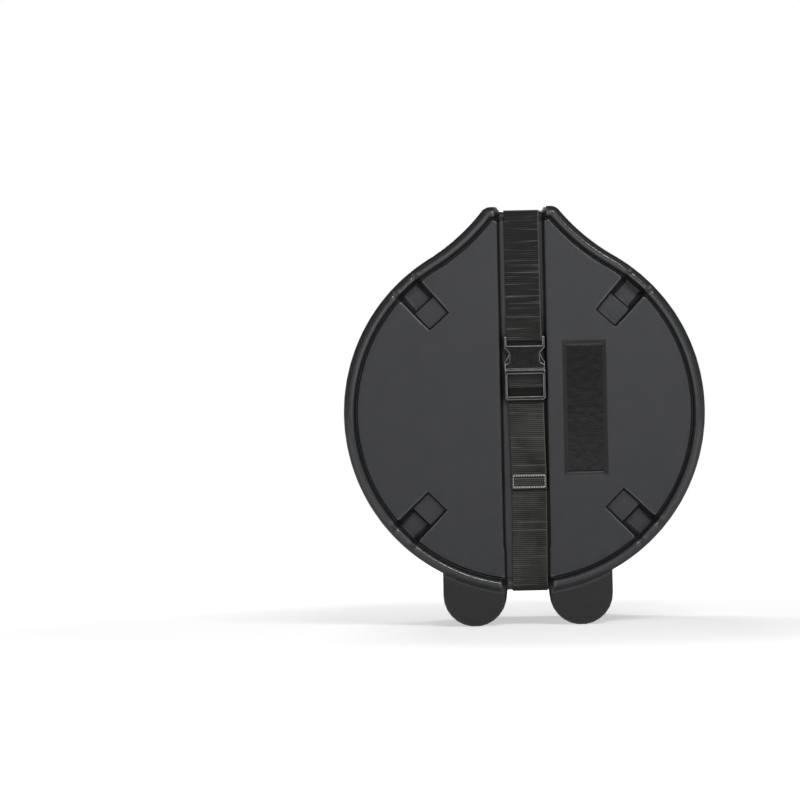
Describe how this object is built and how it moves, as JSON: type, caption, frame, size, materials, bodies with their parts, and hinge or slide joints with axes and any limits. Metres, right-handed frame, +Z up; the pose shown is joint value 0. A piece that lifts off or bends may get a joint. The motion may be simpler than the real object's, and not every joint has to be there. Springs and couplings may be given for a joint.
{
  "type": "tom drum case",
  "caption": "Round moulded drum case that stands on its feet: telescoping lid, webbing strap with a side-release buckle, and a folding carry handle.",
  "frame": {"origin": "on the floor, midway between the feet, at the centre of the bounding box's underside", "axes": "+Z up, the lid and its buckle face -Y, the base faces +Y, +X is right as seen from the lid"},
  "size_m": [0.516, 0.43, 0.6155],
  "materials": {
    "moulded_polyethylene": "rotomoulded black polyethylene with a fine pebble",
    "woven_webbing": "black woven polypropylene webbing",
    "moulded_acetal": "black injection-moulded acetal, satin",
    "moulded_rubber": "black moulded vinyl rubber, slightly glossy",
    "blackened_steel": "blackened steel",
    "foam": "dark grey closed-cell polyethylene foam"
  },
  "bodies": {
    "base": {"base_shell": "moulded_polyethylene", "web_base": "woven_webbing", "base_floor_pad_left": "foam", "base_floor_pad_right": "foam", "base_cradle_pad_1": "foam", "base_cradle_pad_2": "foam", "base_cradle_pad_3": "foam", "base_cradle_pad_4": "foam", "handle_bracket_left": "blackened_steel", "handle_bracket_right": "blackened_steel", "handle_pin_left": "blackened_steel", "handle_pin_right": "blackened_steel", "handle_rivet_left_front": "blackened_steel", "handle_rivet_left_rear": "blackened_steel", "handle_rivet_right_front": "blackened_steel", "handle_rivet_right_rear": "blackened_steel"},
    "lid": {"lid_shell": "moulded_polyethylene", "web_lid_top": "woven_webbing", "web_front_upper": "woven_webbing", "web_lid_lower": "woven_webbing", "web_adjuster_turn": "woven_webbing", "buckle_plug": "moulded_acetal", "lid_pad_left": "foam", "lid_pad_right": "foam", "lid_hoop_pad_1": "foam", "lid_hoop_pad_2": "foam", "lid_hoop_pad_3": "foam", "lid_hoop_pad_4": "foam"},
    "socket": {"buckle_socket": "moulded_acetal", "web_loop": "woven_webbing"},
    "prong_left": {"buckle_prong_left": "moulded_acetal"},
    "prong_right": {"buckle_prong_right": "moulded_acetal"},
    "tail": {"web_tail": "woven_webbing", "web_tail_hem": "woven_webbing"},
    "handle": {"handle_grip": "moulded_rubber"}
  },
  "joints": [
    {"name": "lid_slide", "type": "slide", "parent": "base", "child": "lid", "axis": [0, -1, 0], "range_m": [0, 0.16]},
    {"name": "buckle_release", "type": "slide", "parent": "lid", "child": "socket", "axis": [0, 0, 1], "range_m": [0, 0.036], "deforming": ["web_front_upper"]},
    {"name": "prong_squeeze_left", "type": "hinge", "parent": "lid", "child": "prong_left", "pos_m": [-0.017, -0.20905, 0.366], "axis": [0, 1, 0], "range_deg": [0, 8], "stiffness_Nm_per_rad": 0.2},
    {"name": "prong_squeeze_right", "type": "hinge", "parent": "lid", "child": "prong_right", "pos_m": [0.017, -0.20905, 0.366], "axis": [0, -1, 0], "range_deg": [0, 8], "stiffness_Nm_per_rad": 0.2},
    {"name": "strap_adjust", "type": "slide", "parent": "lid", "child": "tail", "axis": [0, 0, 1], "range_m": [0, 0.07], "deforming": ["web_tail"]},
    {"name": "handle_fold", "type": "hinge", "parent": "base", "child": "handle", "pos_m": [0, 0.03, 0.6085], "axis": [1, 0, 0], "range_deg": [0, 90]}
  ],
  "couplings": [
    {"joint": "prong_squeeze_right", "follows": "prong_squeeze_left", "ratio": 1}
  ]
}
